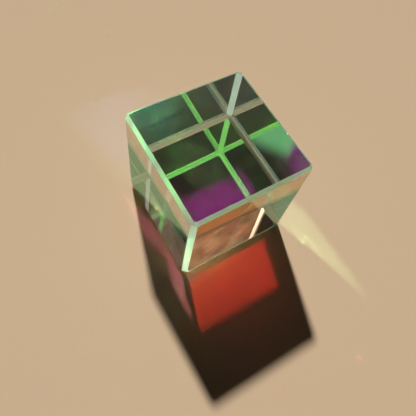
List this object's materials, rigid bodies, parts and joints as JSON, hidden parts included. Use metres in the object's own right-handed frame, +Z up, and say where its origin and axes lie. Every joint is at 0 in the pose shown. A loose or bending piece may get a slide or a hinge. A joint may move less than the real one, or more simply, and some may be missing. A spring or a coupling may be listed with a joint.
{
  "type": "colour mixing glass cube",
  "caption": "Solid polished glass cube with ground bevels and cyan, magenta and yellow interference coats on its sides and base.",
  "frame": {"origin": "centre of the face that the cube lies on", "axes": "+Z up through the bare top, +X towards the right side, -Y towards the front side"},
  "size_m": [0.025, 0.025, 0.025],
  "materials": {
    "clear_glass": "polished, with ground bevels",
    "cyan_coat": "thin interference coat, passes cyan and mirrors red",
    "magenta_coat": "thin interference coat, passes magenta and mirrors green",
    "yellow_coat": "thin interference coat, passes yellow and mirrors blue"
  },
  "bodies": {
    "root": {"glass_block": "clear_glass", "cyan_coat_left": "cyan_coat", "cyan_coat_right": "cyan_coat", "magenta_coat_front": "magenta_coat", "yellow_coat_back": "yellow_coat", "magenta_coat_base": "magenta_coat"}
  },
  "joints": []
}
